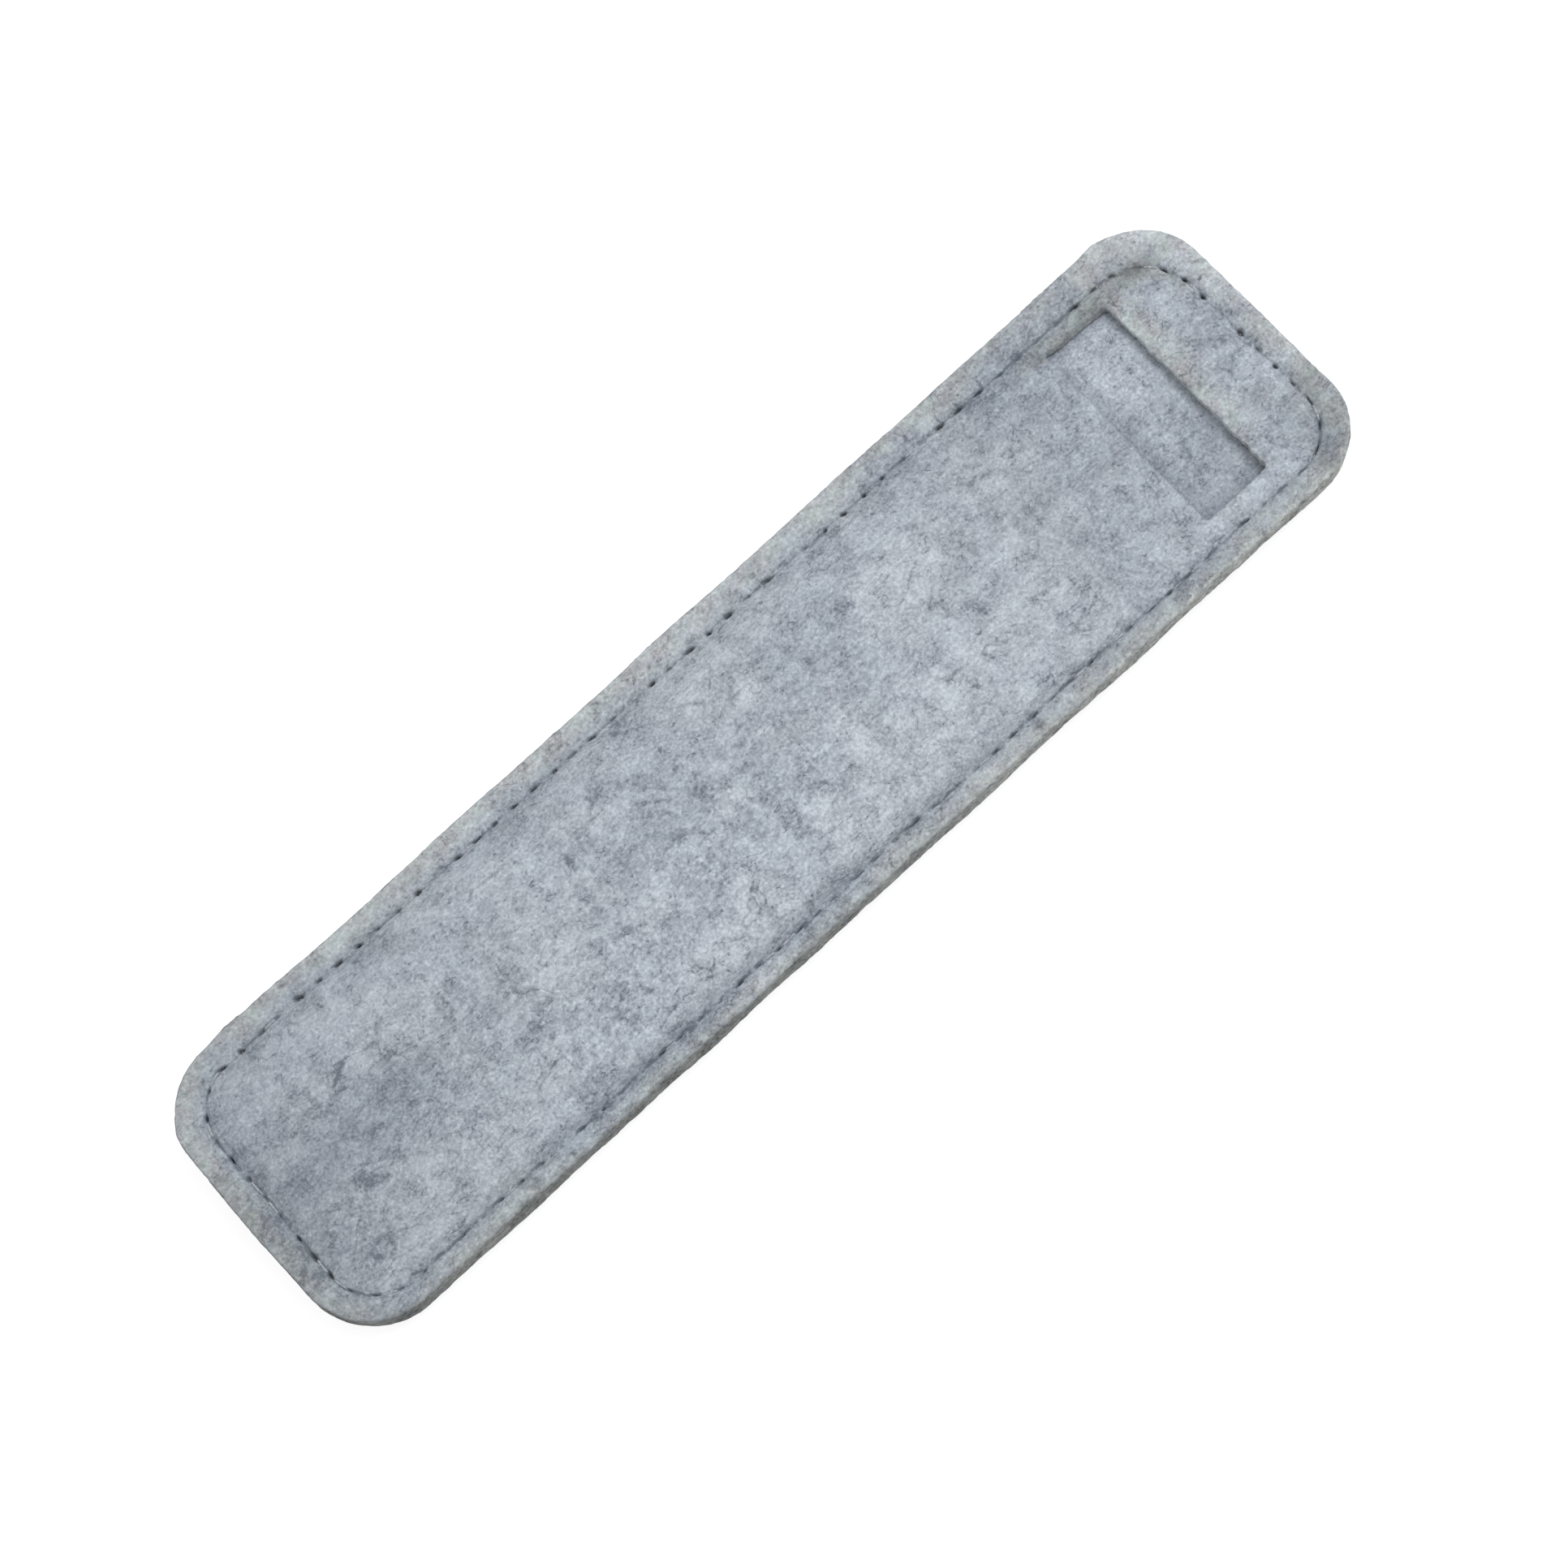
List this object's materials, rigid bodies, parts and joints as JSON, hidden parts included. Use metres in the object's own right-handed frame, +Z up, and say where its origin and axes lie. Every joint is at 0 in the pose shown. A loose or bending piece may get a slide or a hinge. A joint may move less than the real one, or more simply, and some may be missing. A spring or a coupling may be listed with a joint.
{
  "type": "pen sleeve",
  "caption": "Slim felt sleeve for one pen: two sewn felt panels with rounded corners and a window cut in the front near one end.",
  "frame": {"origin": "on the surface the sleeve lies on, under the middle of its outline", "axes": "+X along the sleeve towards the window end, +Y across it, +Z up out of the front face"},
  "size_m": [0.17, 0.043, 0.0094],
  "materials": {
    "felt": "marled light blue-grey pressed felt",
    "thread": "pale grey polyester sewing thread"
  },
  "bodies": {
    "root": {"back_panel": "felt", "front_panel": "felt", "needle_thread": "thread", "bobbin_thread": "thread"}
  },
  "joints": []
}
